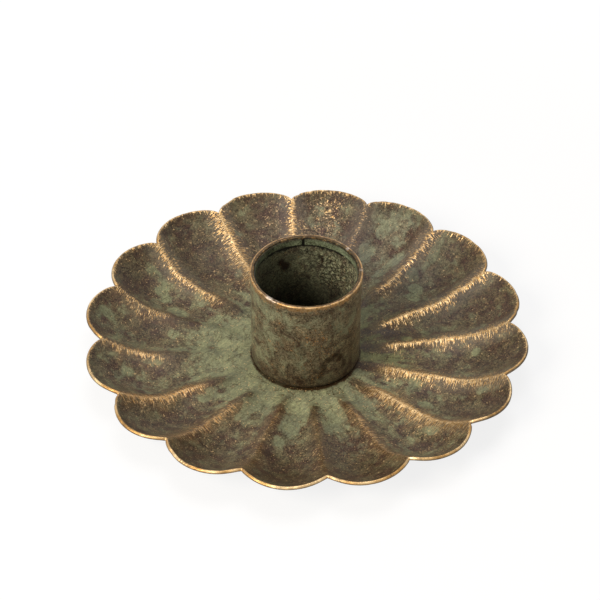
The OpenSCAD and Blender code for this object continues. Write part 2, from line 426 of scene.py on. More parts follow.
    # notes for the finish: mm from the crest and from the edge, and the share of the way to the underside
    offAngle = add("Math SUBTRACT", [size.halfPitch, add("Math ABSOLUTE", [angle])])
    offRidge = add("Math MULTIPLY", [offAngle, radius])
    mirrored = add("Math MULTIPLY", [add("Math SIGN", [centred]), -1.0])
    whole = add("Math FLOOR", [add("Math ADD", [count, 0.5])])
    notes = {"offRidge": offRidge, "across": add("Math MULTIPLY", [offRidge, mirrored]),
             "ridgeNumber": add("Math FLOORED_MODULO", [whole, size.petals]),
             "fromEdge": add("Math SUBTRACT", [outline, radius]),
             "under": add("Math DIVIDE", [depth, size.sheet])}
    patch = grid
    for name, value in notes.items():
        patch = add("GeometryNodeStoreNamedAttribute", {"Geometry": patch, "Name": name, "Value": value},
                    data_type="FLOAT", domain="POINT")
    return add("GeometryNodeSetPosition", {"Geometry": patch, "Position": metres})


def upperFace(add, size, along, edge):
    share = add("Math POWER", [along, dish["rowSpread"]])
    return add("MapRange", [share, 0.0, 1.0, size.holeRadius, edge]), 0.0


def cutEdge(add, size, along, edge):
    halfTurn = add("Math MULTIPLY", [along, math.pi])
    sine = add("Math SINE", [halfTurn])
    outwards = add("Math MAXIMUM", [sine, 0.0])
    full = add("Math SQRT", [outwards])
    radius = add("Math MULTIPLY_ADD", [full, size.corner, edge])
    return radius, add("Math MULTIPLY", [along, size.sheet])


def underside(add, size, along, edge):
    back = add("Math SUBTRACT", [1.0, along], use_clamp=True)
    share = add("Math POWER", [back, dish["rowSpread"]])
    return add("MapRange", [share, 0.0, 1.0, size.headRadius, edge]), size.sheet


def rivetHole(add, size, along, edge):                  # the countersink, then the straight bore
    cone = dish["coneRows"]
    radius = add("MapRange", [along, 0.0, cone, size.headRadius, size.holeRadius])
    coneDepth = add("Math SUBTRACT", [size.sheet, size.headLand])
    first = add("MapRange", [along, 0.0, cone, coneDepth, 0.0])
    last = add("MapRange", [along, cone, 1.0, size.headLand, 0.0])
    return radius, add("Math ADD", [first, last])


def dishTree(material):
    tree = bpy.data.node_groups.new("pressedDish", "GeometryNodeTree")
    tree.interface.new_socket("Geometry", in_out="INPUT", socket_type="NodeSocketGeometry")
    tree.interface.new_socket("Geometry", in_out="OUTPUT", socket_type="NodeSocketGeometry")
    for name in dishInputs():
        tree.interface.new_socket(name, in_out="INPUT", socket_type="NodeSocketFloat")
    add = partial(addNode, tree)
    given = tree.nodes.new("NodeGroupInput").outputs
    size = SimpleNamespace(**{socket.name: socket for socket in given if socket.name})
    faces = {"topRows": upperFace, "edgeRows": cutEdge, "underRows": underside, "holeRows": rivetHole}
    patches = [sheetPatch(add, size, dish[rows], shape) for rows, shape in faces.items()]
    joined = add("GeometryNodeJoinGeometry", {"Geometry": patches})
    closed = add("GeometryNodeMergeByDistance", {"Geometry": joined, "Distance": weld})
    outward = add("GeometryNodeFlipFaces", {"Mesh": closed})
    smooth = add("GeometryNodeSetShadeSmooth", {"Geometry": outward, "Shade Smooth": True})
    real = add("GeometryNodeRealizeInstances", {"Geometry": smooth})
    finished = add("GeometryNodeSetMaterial", {"Geometry": real, "Material": material})
    add("NodeGroupOutput", {"Geometry": finished})
    return tree


def grow(name, tree, values):           # the tree's result as a plain mesh
    piece = newObject(name, bpy.data.meshes.new(name))
    modifier = piece.modifiers.new("grow", "NODES")
    modifier.node_group = tree
    for socket in tree.interface.items_tree:
        if socket.in_out == "INPUT" and socket.name in values:
            modifier[socket.identifier] = values[socket.name]
    mesh = bpy.data.meshes.new_from_object(piece.evaluated_get(bpy.context.evaluated_depsgraph_get()))
    piece.modifiers.remove(modifier)
    piece.data = mesh
    return piece


# Where the dish is rubbed, green and dark, read off the photograph
dishWear = {
    # for each ridge, from 4.85 degrees on: reach in mm, cover, the radius at which it starts, and redness
    "ridges": [
        (2.5, 0.97, 15, 0.05), (2.6, 0.95, 16, 0.05), (3.4, 0.8, 22, 0.1), (2.6, 0.6, 24, 0.15),
        (2.4, 0.92, 24, 0.05), (3.2, 0.97, 22, 0.05), (3.0, 0.88, 22, 0.1), (3.0, 0.78, 29, 0.15),
        (3.0, 0.84, 29, 0.2), (3.0, 0.92, 22, 0.3), (3.0, 0.76, 20, 0.35), (2.2, 0.6, 17, 0.5),
        (2.0, 0.56, 19, 0.6), (2.6, 0.75, 17, 0.25), (3.5, 1.0, 15, 0.05), (3.2, 0.98, 14.5, 0.05)],
    # for each petal: the share of the cut edge that is worn, and how thick the flecks are
    "cuts": [0.5, 0.45, 0.55, 0.7, 0.7, 0.7, 0.7, 0.75, 0.85, 1.0, 1.0, 1.0, 1.0, 0.9, 0.6, 0.5],
    "flecks": [0.0, 0.02, 0.05, 0.05, 0.08, 0.1, 0.13, 0.15, 0.16, 0.18, 0.2, 0.14, 0.13, 0.15, 0.05, 0.0],
    # for each ridge: how short its strokes are, and how strongly a grey sheen is painted beside it
    "strokes": [0.12, 0.13, 0.16, 0.18, 0.18, 0.18, 0.18, 0.15,
                0.11, 0.09, 0.09, 0.11, 0.12, 0.12, 0.11, 0.11],
    "polish": [0.35, 0.36, 0.28, 0.25, 0.25, 0.28, 0.3, 0.1, 0.15, 0, 0, 0, 0, 0, 0.15, 0.3],
    # for each petal, from 16.1 degrees on: mm that the wear runs in from the edge
    "rims": [1.3, 2.0, 1.3, 1.5, 1.2, 1.0, 1.4, 0.9, 0.6, 0.4, 0.4, 0.4, 0.4, 0.4, 0.6, 1.0],
    # patches: bearing in degrees, radius, half length outwards, half width, strength and any lean in degrees
    "green": [
        (16, 17, 5, 6, 0.12), (0, 35, 9, 12, 0.14), (325, 34, 7, 7, 0.1), (292, 34, 6, 5, 0.06),
        (180, 19, 8, 8, 0.35), (235, 18, 4, 9, 0.4), (275, 17, 4, 7, 0.4), (210, 23, 5, 4, 0.25, 20),
        (262, 22, 6, 2.4, 0.42), (284, 21, 5, 2.2, 0.38), (240, 22, 4, 2, 0.3), (305, 21, 4, 2, 0.34),
        (67, 36, 2.6, 1.3, 0.7), (56, 35, 4.2, 0.9, 0.7, -15), (60, 46, 4, 4, 0.3), (66, 44, 2.4, 2, 0.35),
        (46, 35, 1.2, 1.3, 1), (40, 33, 1.2, 1.2, 1), (37, 31, 1, 1.2, 1), (45, 42, 3, 0.8, 0.8, 10),
        (354, 19, 1.3, 1.2, 1), (8, 23, 1, 1.6, 0.9), (358, 38, 1, 0.9, 0.8), (337, 26, 1, 1, 0.9),
        (327, 31, 1.3, 1, 1), (316, 38, 1.1, 0.9, 0.9), (338, 41, 0.9, 0.8, 0.8),
        (157, 31.5, 2.2, 1.5, 0.7), (152, 36, 1.3, 1.2, 0.7), (146, 28, 1, 0.9, 0.8),
        (150, 38, 1.2, 1.2, 0.8), (143, 30, 1.2, 1.1, 1), (147, 41, 3.2, 1.1, 0.6), (171, 45, 1.3, 1, 0.6),
        (170, 30, 1, 0.9, 0.8), (177, 24, 1.7, 0.9, 0.7), (188, 34, 1.9, 1, 0.7), (193, 40, 1.2, 0.9, 0.6),
        (234, 21, 1.6, 1.5, 1), (215, 27, 1, 0.8, 0.9), (225, 25, 0.9, 0.8, 0.9), (259, 29, 1.3, 1, 0.7)],
    # dark patina patches; the one at 15 degrees is partly the painted shadow of the cup, and the thin one at
    # 290 degrees is a painted contact shadow at its foot
    "dark": [
        (150, 44, 4, 4, 0.3), (332, 40, 4, 4, 0.2), (170, 36, 3, 2.5, 0.3), (128, 38, 5, 4, 0.3),
        (105, 38, 5, 3, 0.3), (353, 42, 5, 4, 0.4), (265, 42, 4, 4, 0.35), (290, 40, 4, 4, 0.3),
        (15, 18, 5, 6, 0.45), (345, 17, 3, 4, 0.35), (272, 37, 7, 11, 0.16), (226, 38, 6, 9, 0.14),
        (8, 39, 8, 11, 0.12), (290, 12.1, 0.3, 9, 0.8), (52, 42, 3, 2.5, 0.3), (330, 44, 3, 4, 0.2)],
    # paler: painted light, in a ring by the foot and on the petals that face the light
    "pale": [
        (268, 15.6, 3, 9, 0.85), (225, 15, 2.6, 7, 0.45), (190, 16, 4, 5, 0.3), (310, 15, 2, 4, 0.4),
        (196, 38, 6, 5, 0.25), (58, 40, 5, 5, 0.35), (104, 42, 5, 5, 0.3), (86, 42, 6, 5, 0.3)],
    # painted light colour: yellower where the cup's shade falls, and a bluer painted sheen over the petals at
    # the back
    "warmer": [(12, 18, 7, 8, 0.5)],
    "cooler": [(62, 38, 9, 12, 0.5), (90, 38, 9, 10, 0.5), (118, 38, 8, 8, 0.25)],
    "chipped": [
        (83, 44, 5, 4, 0.8), (92, 38, 5, 2.5, 0.7), (112, 36, 4, 4, 0.5), (100, 43, 3, 3, 0.45),
        (124, 30, 4, 3, 0.4), (138, 26, 4, 2.5, 0.5), (185, 37, 1.6, 1.2, 0.9), (313, 36, 3, 1.6, 0.5, 30),
        (307, 42, 2, 3, 0.4)],
    # between which radii each fades: green rays, green and a painted contact shadow at the cup's foot, and
    # the painted grey sheen
    "rayGreen": (27.0, 14.0), "footGreen": (14.0, 20.0), "cupFootShadow": (12.1, 12.5), "greySheenOut": (25.0, 33.0),
    # and how far from the edge: the brown margin, the bare cut line, and redder metal
    "margin": (0.4, 2.4), "cutLine": (0.04, 0.2), "redLine": (0.2, 1.5),
    # and how far from a crest: the painted grey sheen, and a smoother sheen
    "greySheenSide": (1.2, 4.5), "sheenSide": (0.5, 4.0),
    # cells of each pattern to a mm, where nothing stretches it
    "raysPerMm": 0.5, "wearPerMm": 0.28, "scratchesPerMm": 1.1, "strokesPerMm": 5.0, "rimStrokesPerMm": 3.5,
    "dullPerMm": 0.35, "chipsPerMm": 1.05,
    "rayStray": 7.0,                    # how far the ends of the green rays stray in and out
    "scratchTurn": 0.7, "scratchStretch": (1.8, 0.22, 1.0),     # radians, and the share of each axis
    "glow": "#866843", "greySheen": "#7c786d",                   # painted brown glow near a crest, and the painted grey sheen
}

dishFinish = {
    "seed": 2.0,
    "umber": "#463327", "olive": "#675e44", "tan": "#7d6648", "sage": "#919571", "sageDark": "#7e8266",
    "vein": "#32230f", "speck": "#dab985",
    "patch": 3.6, "patchLow": 0.43, "patchHigh": 0.58,
    "tanSize": 1.6, "tanCover": 0.58,
    "bloomSize": 2.6, "bloomCover": 0.8,
    "veinSize": 3.6, "veinWidth": 0.03, "veinCover": 0.75,
    "grain": 0.38, "grainDepth": 2.1,
    "fleck": 0.33, "fleckRare": 0.67, "fleckOften": 0.52,
    "lacquerRoughness": 0.42, "bloomRoughness": 0.66,
    "grainRelief": 0.1, "bloomRelief": 0.015, "speckRelief": 0.01,
}
dabFade = 1.7                           # a patch fades from 0.7 of its half size to this share of it


def noteOnMesh(mesh, name, values):
    mesh.attributes.new(name, "FLOAT", "POINT").data.foreach_set("value", np.asarray(values, np.float32))


def readNote(mesh, name):
    values = np.zeros(len(mesh.vertices))
    mesh.attributes[name].data.foreach_get("value", values)
    return values


def spots(mesh):                        # radius in mm, bearing in degrees and height in mm of each point
    place = np.zeros(len(mesh.vertices) * 3)
    mesh.vertices.foreach_get("co", place)
    x, y, z = place.reshape(-1, 3).T / mm
    return np.hypot(x, y), np.degrees(np.arctan2(y, x)), z


def dabbed(bearing, along, dabs, arm=None):     # how far each point lies in soft-edged patches
    total = np.zeros(len(bearing))
    for turn, middle, halfLength, halfWidth, strength, *lean in dabs:
        out = along - middle
        side = ((bearing - turn + 180) % 360 - 180) * math.pi / 180 * (middle if arm is None else arm)
        c, s = math.cos(math.radians(sum(lean))), math.sin(math.radians(sum(lean)))
        away = np.hypot((c * out + s * side) / halfLength, (c * side - s * out) / halfWidth)
        total = np.maximum(total, strength * np.clip(dabFade - away, 0, 1))
    return total


def noteDishWear(mesh):
    radius, bearing, _ = spots(mesh)
    ridge = np.round(readNote(mesh, "ridgeNumber")).astype(int) % dish["petals"]
    reach, cover, start, red = np.array(dishWear["ridges"], float)[ridge].T
    fade = np.clip((radius - start + 1) / 6, 0, 1)
    petals = dish["petals"]
    petal = (bearing - dish["petalTurn"]) / 360 * petals
    noteOnMesh(mesh, "crestReach", reach)
    noteOnMesh(mesh, "crestCover", cover * fade * fade * (3 - 2 * fade))
    noteOnMesh(mesh, "redness", red)
    for name in ("strokes", "polish"):
        noteOnMesh(mesh, name, np.array(dishWear[name])[ridge])
    for name in ("rims", "cuts", "flecks"):
        noteOnMesh(mesh, name, np.interp(petal, range(petals), dishWear[name], period=petals))
    beside = np.clip(1.5 - readNote(mesh, "offRidge") / 1.3, 0, 1)
    noteOnMesh(mesh, "brownRoot", beside * np.clip((radius - start + 4.5) / 3.5, 0, 1))
    for name in ("green", "dark", "pale", "warmer", "cooler", "chipped"):
        noteOnMesh(mesh, name, dabbed(bearing, radius, dishWear[name]))


# Pressed brass sheet, browned and bloomed green: dull and mottled, with bright metal combed over the crests,
# and painted light, sheen, glow and shade where noted
def dishPatina():
    material, add, point = startFinish("browned and greened pressed brass")
    wear = dishWear
    noted = readNotes(add, "offRidge across fromEdge under ridgeNumber crestReach crestCover redness strokes "
                           "polish rims cuts flecks brownRoot green dark pale warmer cooler chipped")
    flat = add("VectorMath MULTIPLY", [point, (1.0, 1.0, 0.0)])
    radius = add("VectorMath LENGTH", [flat])
    outwards = add("VectorMath NORMALIZE", [flat])

    # greener towards the cup, in streaks that run outwards
    rays = add("VectorMath SCALE", [outwards, 30.0])
    rayLift = add("CombineXYZ", [0.0, 0.0, add("Math MULTIPLY", [radius, 0.2])])
    rayPoint = add("VectorMath ADD", [rays, rayLift])
    ray = add("TexNoise", [rayPoint, wear["raysPerMm"], 4.0, 0.6])
    rayShift = add("MapRange", [ray, 0.3, 0.7, -wear["rayStray"], wear["rayStray"]])
    shifted = add("Math ADD", [radius, rayShift])
    middle = add("MapRange SMOOTHSTEP", [shifted, *wear["rayGreen"], 0.0, 0.62])
    byFoot = add("MapRange SMOOTHSTEP", [radius, *wear["footGreen"], 0.5, 0.22])
    rooted = add("Math ADD", [middle, byFoot])
    grown = add("Math MULTIPLY_ADD", [noted.brownRoot, -0.75, rooted])
    barred = add("Math MULTIPLY_ADD", [noted.dark, -1.2, noted.green])
    greening = add("Math ADD", [grown, barred])

    # near the crest: how far out, as a share of the wear's reach, with a soft brown glow under the strokes,
    # painted as light bounced off the bare metal
    patchy = add("TexNoise", [point, wear["wearPerMm"], 3.0])
    patchReach = add("MapRange", [patchy, 0.35, 0.65, 0.55, 1.3])
    crestReach = add("Math MULTIPLY", [noted.crestReach, patchReach])
    crestShare = add("Math DIVIDE", [noted.offRidge, crestReach])
    crestNear = add("MapRange SMOOTHSTEP", [crestShare, 0.0, 1.5, 1.0, 0.0])
    crestGlow = add("Math MULTIPLY", [crestNear, noted.crestCover])
    rimShare = add("Math DIVIDE", [noted.fromEdge, noted.rims])
    rimNear = add("MapRange SMOOTHSTEP", [rimShare, 0.0, 1.4, 1.0, 0.0])
    rimGlow = add("Math MULTIPLY", [rimNear, 0.35])
    glow = add("Math MAXIMUM", [crestGlow, rimGlow])
    halfGlow = add("Math MULTIPLY", [glow, 0.45])
    dusted = add("Math MULTIPLY", [noted.chipped, 0.6])
    livelier = add("Math MAXIMUM", [halfGlow, dusted])
    lively = add("Math ADD", [livelier, noted.flecks])

    lip = add("MapRange", [noted.fromEdge, *wear["margin"], 0.5, 0.0])
    browned = add("Math MULTIPLY_ADD", [noted.brownRoot, 0.4, noted.dark])
    shaded = add("Math ADD", [lip, browned])
    unworn = add("Math SUBTRACT", [1.0, glow])
    # painted contact shadow: a thin dark ring on the dish round the cup's foot
    contactShade = add("MapRange", [radius, *wear["cupFootShadow"], 0.85, 0.0])
    darkening = add("Math MULTIPLY_ADD", [shaded, unworn, contactShade])
    colour, rough, height = agedSkin(add, point, dishFinish, greening, darkening, lively)
    # painted bounce light: a brown glow mixed in near the crests and the rims
    hazed = add("Math MULTIPLY", [glow, 0.34])
    glowing = add("Mix RGBA", [hazed, colour, paint(wear["glow"])])
    # painted sheen: greyer beside the crests, as if light from above reflected there
    beside = add("MapRange SMOOTHSTEP", [noted.offRidge, *wear["greySheenSide"], 1.0, 0.0])
    outer = add("MapRange SMOOTHSTEP", [radius, *wear["greySheenOut"]])
    greySheen = add("Math MULTIPLY", [beside, noted.polish])
    polish = add("Math MULTIPLY", [greySheen, outer])
    greySheened = add("Mix RGBA", [polish, glowing, paint(wear["greySheen"])])
    # painted light: paler where noted, by the cup's foot and on the petals that face the light; scratches
    # then vary it
    paintedLightGain = add("MapRange", [noted.pale, 0.0, 1.0, 1.0, 1.6])
    leaning = add("VectorRotate Z_AXIS", {"Vector": point, "Angle": wear["scratchTurn"]})
    combed = add("VectorMath MULTIPLY", [leaning, wear["scratchStretch"]])
    scratch = add("TexNoise", [combed, wear["scratchesPerMm"], 3.0, 0.7])
    scratched = add("MapRange", [scratch, 0.3, 0.7, 0.76, 1.24])
    lightAndScratchGain = add("Math MULTIPLY", [paintedLightGain, scratched])
    lightAndScratched = add("VectorMath SCALE", [greySheened, lightAndScratchGain])
    # painted light colour: less blue in the cup's shade, and bluer as a painted sheen over the back petals
    lessBlue = add("Math MULTIPLY_ADD", [noted.warmer, -0.4, 1.0])
    blue = add("Math MULTIPLY_ADD", [noted.cooler, 0.3, lessBlue])
    toned = add("VectorMath MULTIPLY", [lightAndScratched, add("CombineXYZ", [1.0, 1.0, blue])])

    # strokes across the ridge, thick at the crest and few further out
    strokePoint = add("CombineXYZ", [radius, add("Math MULTIPLY", [noted.across, noted.strokes]),
                                     add("Math MULTIPLY", [noted.ridgeNumber, 9.0])])
    stroke = add("TexNoise", [strokePoint, wear["strokesPerMm"], 2.0, 0.6])
    uncovered = add("Math SUBTRACT", [1.0, noted.crestCover])
    strokeFrom = add("Math MULTIPLY_ADD", [crestShare, 0.24, 0.4])
    strokeOver = add("Math MULTIPLY_ADD", [uncovered, 0.4, strokeFrom])
    crest = past(add, stroke, strokeOver, -0.01, 0.05, 0.95)

    # strokes in from the edge, and the cut edge itself
    rimPoint = add("VectorMath SCALE", [outwards, dish["tipRadius"]])
    rimLift = add("CombineXYZ", [0.0, 0.0, add("Math MULTIPLY", [noted.fromEdge, 0.3])])
    rimSpot = add("VectorMath ADD", [rimPoint, rimLift])
    rimStroke = add("TexNoise", [rimSpot, wear["rimStrokesPerMm"], 3.0, 0.65])
    rimFrom = add("Math MULTIPLY_ADD", [rimShare, 0.28, 0.45])
    rim = past(add, rimStroke, rimFrom, -0.01, 0.07, 0.9)
    cutLine = add("MapRange", [noted.fromEdge, *wear["cutLine"], 1.0, 0.0])
    cutShare = add("Math DIVIDE", [noted.under, noted.cuts])
    upper = add("MapRange", [cutShare, 0.5, 0.95, 1.0, 0.1])
    dull = add("TexNoise", [rimSpot, wear["dullPerMm"], 2.0, 0.6])
    dulled = add("MapRange", [dull, 0.36, 0.56, 0.4, 1.0])
    edged = add("Math MAXIMUM", [rim, add("Math MULTIPLY", [cutLine, dulled])])
    worn = add("Math MAXIMUM", [edged, crest])

    # chips, thick where the sheet is noted as chipped
    chip = add("TexNoise", [point, wear["chipsPerMm"], 4.0, 0.72])
    chipFrom = add("MapRange", [noted.chipped, 0.0, 1.0, 0.78, 0.52])
    wornOrChipped = add("Math MAXIMUM", [worn, past(add, chip, chipFrom, 0.0, 0.06, 0.95)])
    cover = add("Math MULTIPLY", [wornOrChipped, upper], use_clamp=True)
    redLine = add("MapRange", [noted.fromEdge, *wear["redLine"], 0.1, 1.0])
    warmth = add("Math MULTIPLY", [noted.redness, redLine])
    near = add("MapRange SMOOTHSTEP", [noted.offRidge, *wear["sheenSide"], 1.0, 0.0])
    burnish = add("Math MULTIPLY", [near, noted.crestCover])
    smoother = add("Math MULTIPLY_ADD", [burnish, -0.08, rough])
    surface = rubThrough(add, point, (toned, smoother, height), cover, warmth, cutLine)
    endFinish(add, surface, cover, 0.9)
    return material


dishPiece = grow("pressed_dish", dishTree(dishPatina()), dishInputs())
noteDishWear(dishPiece.data)
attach(dishPiece, "root")
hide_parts("dish")
print("dish pressed:", len(dishPiece.data.polygons), "faces")


# Round pieces are spun from a closed profile of (radius, height) points
def arc(middle, radius, start, end, steps=8):
    turns = [math.radians(start + (end - start) * i / steps) for i in range(steps + 1)]
    return [(middle[0] + radius * math.cos(turn), middle[1] + radius * math.sin(turn)) for turn in turns]


def evenly(profile, spacing):           # long straight stretches get points between their ends
    points = []
    for (r0, z0), (r1, z1) in zip(profile, profile[1:] + profile[:1]):
        parts = max(1, round(math.hypot(r1 - r0, z1 - z0) / spacing))
        points += [(r0 + (r1 - r0) * i / parts, z0 + (z1 - z0) * i / parts) for i in range(parts)]
    return np.array(points)


def spin(name, profile, around, shift, sweep=360.0, start=0.0):
    whole = sweep >= 360
    turns = np.radians(start + sweep * np.arange(around + (0 if whole else 1)) / around)[:, None]
    r, z = shift(turns, profile[None, :, 0] + 0 * turns, profile[None, :, 1] + 0 * turns)
    points = np.stack([r * np.cos(turns), r * np.sin(turns), z], -1).reshape(-1, 3) * mm
    rings, count = len(turns), len(profile)
    faces = []
    for i in range(rings if whole else rings - 1):
        here, further = i * count, (i + 1) % rings * count
        faces += [(here + j, further + j, further + (j + 1) % count, here + (j + 1) % count)
                  for j in range(count)]
    if not whole:
        faces += [tuple(range(count)), tuple(range((rings - 1) * count, rings * count))]
    mesh = bpy.data.meshes.new(name)
    mesh.from_pydata(points.tolist(), [], faces)
    shell = bmesh.new()
    shell.from_mesh(mesh)
    bmesh.ops.remove_doubles(shell, verts=shell.verts, dist=weld)
    bmesh.ops.recalc_face_normals(shell, faces=shell.faces)
    shell.to_mesh(mesh)
    shell.free()
    mesh.shade_smooth()
    return newObject(name, mesh)


def unevenness(turns, height, seed):    # a slow hand-made wobble between about -1 and 1
    return (np.sin(2 * turns + seed) + np.sin(3 * turns - 0.21 * height + 2 * seed)
            + np.sin(5 * turns + 0.37 * height + 3 * seed) + np.sin(9 * turns - 0.5 * height + seed)) / 4


# The candle cup: a drawn cup with a slightly thicker lip
cup = {
    "foot": 0.75,                       # height of its underside, on the dish's floor
    "height": 24.0, "bore": 11.42, "wall": 0.7, "footDraw": 0.1, "floor": 0.8,
    "footRound": 1.0, "floorFillet": 0.6, "lipHeight": 2.4, "lipProud": 0.18, "lipEdge": 0.25, "hole": 1.53,
    "lipBlend": 0.3, "lipStep": 0.02, "lipRise": 0.2,       # how the wall swells into the lip's band
    "spacing": 0.45, "around": 288, "wobble": 0.06, "lipWobble": 0.09,
}


def cupProfile():
    bore, hole, floor, fillet = cup["bore"], cup["hole"], cup["floor"], cup["floorFillet"]
    neck, turn, edge, top = bore + cup["wall"], cup["footRound"], cup["lipEdge"], cup["height"]
    band = top - cup["lipHeight"]
    foot, lip = neck - cup["footDraw"], neck + cup["lipProud"]
    outside = [*arc((foot - turn, turn), turn, -90, 0), (neck, band - cup["lipBlend"]),
               (neck + cup["lipStep"], band), (lip, band + cup["lipProud"] + cup["lipRise"]),
               *arc((lip - edge, top - edge), edge, 0, 90)]
    inside = [*arc((bore + edge, top - edge), edge, 90, 180),
              *arc((bore - fillet, floor + fillet), fillet, 0, -90)]
    return [(r, z + cup["foot"]) for r, z in [(hole, 0), *outside, *inside, (hole, floor)]]


def cupShift(turns, r, z):              # dents outside only: the bore keeps its clearances
    outside = np.clip((r - cup["bore"] - 0.45) / 0.2, 0, 1) * np.clip((z - 3) / 4, 0, 1)
    rim = np.clip((z - cup["foot"] - cup["height"] + 0.6) / 0.5, 0, 1)
    r = r - cup["wobble"] * outside * (0.5 + 0.5 * unevenness(turns, z, 1.3))
    return r, z - cup["lipWobble"] * rim * (0.5 + 0.5 * unevenness(2 * turns, z, 4.1))


cupWear = {
    # stains as bearing in degrees, height, half height, half width and strength, outside and inside
    "outside": [
        (286, 4.5, 1.0, 0.6, 0.6), (289, 7, 1.0, 0.6, 0.75), (295, 8.6, 0.7, 0.8, 0.9),
        (302, 9.3, 0.7, 0.9, 1), (308, 8, 0.9, 0.7, 1), (314, 5.8, 1.1, 0.7, 0.7), (325, 7, 3, 1.6, 0.25),
        (250, 6, 2.5, 3, 0.2), (270, 4.4, 1.6, 3, 0.2), (245, 15, 2.5, 1.5, 0.2), (262, 12, 1.5, 1.8, 0.2)],
    "inside": [
        (119, 18.4, 0.9, 0.7, 1), (114, 17, 1.0, 1.0, 1), (72, 18.6, 0.9, 0.3, 1), (75, 19.4, 0.5, 0.3, 0.8)],
    "crackled": [(48, 17, 4.5, 6, 1), (20, 16, 5, 4, 0.8), (88, 20, 1.5, 3, 0.6)],
    # where a white highlight is painted on the lip's metal
    "silvered": [(232, 24.72, 0.5, 1.2, 0.55), (2, 24.7, 0.4, 0.35, 0.5), (40, 24.7, 0.3, 0.25, 0.45)],
    # where it is greener, and where orange flecks gather, outside
    "greened": [
        (238, 20.5, 1.5, 4.5, 0.35), (222, 12, 5, 2, 0.2), (318, 17, 3, 2.5, 0.25), (262, 9, 2.4, 1.4, 0.2)],
    "flecked": [
        (284, 14.5, 2.2, 3.0, 0.42), (292, 11, 1.2, 2.4, 0.3), (231, 12.8, 0.6, 0.6, 0.95),
        (238, 11, 0.6, 0.4, 0.8)],
    # heights over the table between which each fades: the brown cap of the lip, the painted shadow line over
    # the strip and its ragged foot, the painted shade deep inside, and darkening, a painted contact shadow
    # line and painted shade at the foot
    "cap": (24.4, 24.62), "shadowLineTop": (24.35, 24.6), "shadowLineFoot": (22.3, 21.2), "depths": (6.0, 16.0),
    "footDarkening": (1.0, 6.0), "footShadowLine": (1.0, 2.1), "footShade": (0.9, 2.0),
    # cells of each pattern to a mm, where nothing stretches it
    "streaksPerMm": 0.22, "platesPerMm": 0.85, "wrinklesPerMm": 2.4, "cracksPerMm": 0.25, "raggedPerMm": 0.45,
    "lipStrokesPerMm": 0.65,
    # colours of the cracks, of the painted shadow line over the strip, of the lip's cap and of its painted
    # white shine
    "crack": "#14110b", "shadowLine": "#0c0a06", "lipTop": "#573f27", "silver": "#f4ede4",
}

cupFinish = {
    "seed": 11.0,
    "umber": "#45342a", "olive": "#7f775d", "tan": "#9a8463", "sage": "#9b9f7e", "sageDark": "#7a7e64",
    "vein": "#2c1d0c", "speck": "#c08c52",
    "patch": 2.6, "patchLow": 0.36, "patchHigh": 0.65,
    "tanSize": 1.6, "tanCover": 0.6,
    "bloomSize": 2.6, "bloomCover": 0.75,
    "veinSize": 3.0, "veinWidth": 0.035, "veinCover": 0.55,
    "grain": 0.33, "grainDepth": 2.5,
    "fleck": 0.36, "fleckRare": 0.69, "fleckOften": 0.52,
    "lacquerRoughness": 0.42, "bloomRoughness": 0.65,
    "grainRelief": 0.1, "bloomRelief": 0.015, "speckRelief": 0.01,
}


def noteCupWear(mesh):
    radius, bearing, height = spots(mesh)
    outer, inner, lip = radius > cup["bore"] + 0.4, radius < cup["bore"] + 0.1, height > cupWear["cap"][0]
    sides = {"outside": outer, "inside": inner, "flecked": outer, "greened": outer, "crackled": inner,
             "silvered": lip}
    for name, here in sides.items():
        noteOnMesh(mesh, name, dabbed(bearing, height, cupWear[name], radius) * here)
